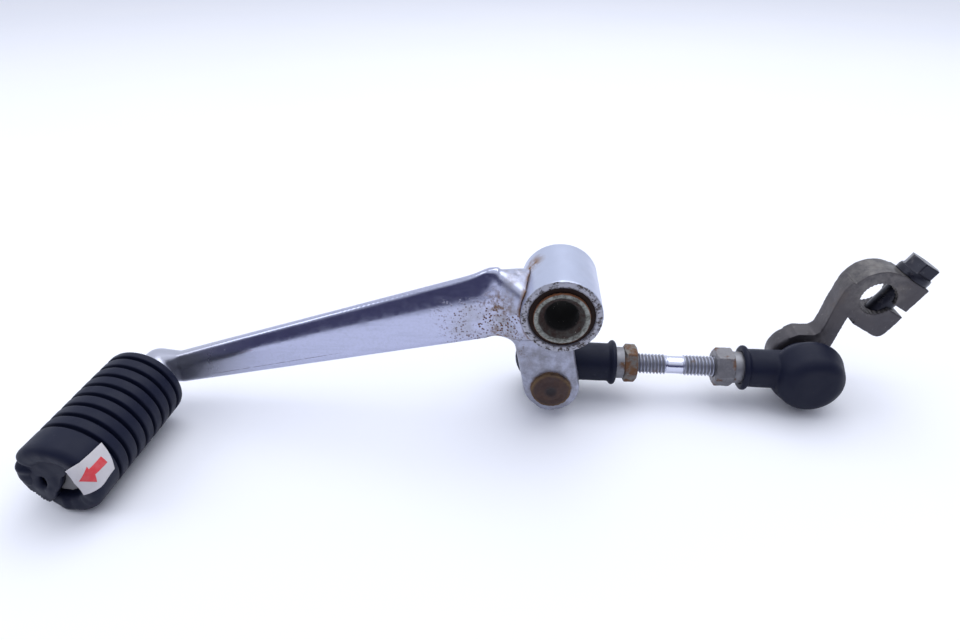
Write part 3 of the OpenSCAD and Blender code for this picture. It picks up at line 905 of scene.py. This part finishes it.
# the paper label wrapped over the rubber's rim, and the arrow printed on it:
# corners by angle round the peg in degrees and distance along it in millimetres
LABEL = [(37, 29.4), (25, 29.9), (14.5, 30.4), (0, 31.2), (-1.5, 34.1), (-4, 36.4), (-4.5, 38.3),
         (-5.5, 40.2), (23, 40.4), (46, 39.5), (43, 37.8), (40.5, 36.4), (38.5, 33)]
ARROW = [(22, 39.4), (31, 36.1), (27, 36.2), (26.5, 32.1), (15, 31.9), (16.5, 36), (6.5, 36.6)]
LABEL_R, CURL_FROM, CURL_R, CURL_MOST = 11.06, 34.6, 5, 1.3
MM_PER_DEGREE = 0.19


def paper_point(turn, along, lift):
    """A place on the label: flat along the rubber, then curling in over the rim."""
    r, t = LABEL_R + lift, along
    if along > CURL_FROM:
        curl = min(CURL_MOST, (along - CURL_FROM) / CURL_R)
        t, r = CURL_FROM + CURL_R * math.sin(curl), r - CURL_R * (1 - math.cos(curl))
    a = math.radians(turn)
    return at_peg(r * math.cos(a), r * math.sin(a), t)


def patch(name, poly, lift, mat):
    """A polygon given by angle and distance along the peg, cut into a fine grid and laid over the rubber."""
    step = 0.28
    bm = bmesh.new()
    flat = [(x * MM_PER_DEGREE, y, 0) for x, y in poly]
    bm.faces.new([bm.verts.new(p) for p in flat])
    for i in (0, 1):
        lo, hi = min(p[i] for p in flat), max(p[i] for p in flat)
        for k in range(1, int((hi - lo) / step) + 1):
            at, way = [0, 0, 0], [0, 0, 0]
            at[i], way[i] = lo + k * step, 1
            every = bm.verts[:] + bm.edges[:] + bm.faces[:]
            bmesh.ops.bisect_plane(bm, geom=every, plane_co=at, plane_no=way)
    for v in bm.verts:
        x, y = v.co.x / MM_PER_DEGREE, v.co.y
        wave = 0.035 * noise.noise(Vector((x * 0.12, y * 0.5, 4)))
        v.co = paper_point(x, y, lift + 0.035 + wave)
    bmesh.ops.recalc_face_normals(bm, faces=bm.faces[:])
    me = bpy.data.meshes.new(name)
    bm.to_mesh(me)
    bm.free()
    me.materials.append(MATS[mat])
    me.shade_smooth()
    o = link(bpy.data.objects.new(name, me))
    k = o.modifiers.new("paper", "SOLIDIFY")
    k.thickness = 0.06 * MM
    k.offset = 0
    return baked(o)


for name, poly, lift, mat in (("paper_label", LABEL, 0.0, "paper"), ("label_arrow", ARROW, 0.045, "ink")):
    piece = patch(name, poly, lift, mat)
    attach(piece, "lever")


# ---------- floor, light, camera ----------

def plane(name, size, z, mat):
    me = bpy.data.meshes.new(name)
    h = size / 2
    me.from_pydata([(-h, -h, z), (h, -h, z), (h, h, z), (-h, h, z)], [], [(0, 1, 2, 3)])
    me.materials.append(mat)
    return link(bpy.data.objects.new(name, me))


floor = plane("floor", 3.0, FLOOR_Z - 0.02 * MM, floor_material())


def area(name, loc, target, size, power, color=(1, 1, 1)):
    """A rectangular lamp at loc that faces target."""
    lamp = bpy.data.lights.new(name, "AREA")
    lamp.shape = "RECTANGLE"
    lamp.size, lamp.size_y = size
    lamp.energy = power
    lamp.color = color
    o = bpy.data.objects.new(name, lamp)
    o.location = loc
    o.rotation_mode = "QUATERNION"
    o.rotation_quaternion = (Vector(target) - Vector(loc)).to_track_quat("-Z", "Y")
    return link(o)


area("key", (0.15, 0.25, 0.85), (0, 0, 0), (0.9, 0.9), 4.4, (0.95, 0.97, 1.0))
area("left", (-0.8, -0.1, 0.5), (-0.03, 0, 0), (0.5, 0.6), 1.6, (0.92, 0.95, 1.0))


def studio_world(dim, bright):
    """A room that is bright behind and overhead, and dim in front and low down."""
    world = bpy.data.worlds.new("studio")
    bpy.context.scene.world = world
    world.use_nodes = True
    nodes, links = world.node_tree.nodes, world.node_tree.links
    nodes.clear()
    split = nodes.new("ShaderNodeSeparateXYZ")
    links.new(nodes.new("ShaderNodeTexCoord").outputs["Generated"], split.inputs[0])
    most = nodes.new("ShaderNodeMath")
    most.operation = "MAXIMUM"
    for i, (way, lo, hi) in enumerate(((1, -0.25, 0.35), (2, 0.35, 0.75))):
        fade = nodes.new("ShaderNodeMapRange")
        fade.inputs["From Min"].default_value = lo
        fade.inputs["From Max"].default_value = hi
        links.new(split.outputs[way], fade.inputs["Value"])
        links.new(fade.outputs[0], most.inputs[i])
    tone = nodes.new("ShaderNodeMix")
    tone.data_type = "RGBA"
    tone.inputs["A"].default_value = (*dim, 1)
    tone.inputs["B"].default_value = (*bright, 1)
    links.new(most.outputs[0], tone.inputs["Factor"])
    back = nodes.new("ShaderNodeBackground")
    back.inputs["Strength"].default_value = 1.0
    links.new(tone.outputs["Result"], back.inputs["Color"])
    links.new(back.outputs[0], nodes.new("ShaderNodeOutputWorld").inputs[0])


studio_world((0.085, 0.085, 0.155), (0.86, 0.9, 1.0))

# the camera: where it stands, how far it is turned to the left and dropped, in degrees, and its lens
CAM_AT = Vector((-10.68, -151.99, 86.21)) * MM
CAM_TURN, CAM_DROP = math.radians(4.11), math.radians(31.8)
look = Vector((-math.sin(CAM_TURN) * math.cos(CAM_DROP), math.cos(CAM_TURN) * math.cos(CAM_DROP),
               -math.sin(CAM_DROP)))
cam_data = bpy.data.cameras.new("camera")
cam_data.sensor_width, cam_data.lens = 36.0, 24.33
cam_data.dof.use_dof = False
cam_data.clip_start, cam_data.clip_end = 0.005, 20
cam = link(bpy.data.objects.new("camera", cam_data))
cam.location = CAM_AT
cam.rotation_mode = "QUATERNION"
cam.rotation_quaternion = look.to_track_quat("-Z", "Y")
bpy.context.scene.camera = cam
bpy.context.scene.view_settings.view_transform = "Standard"
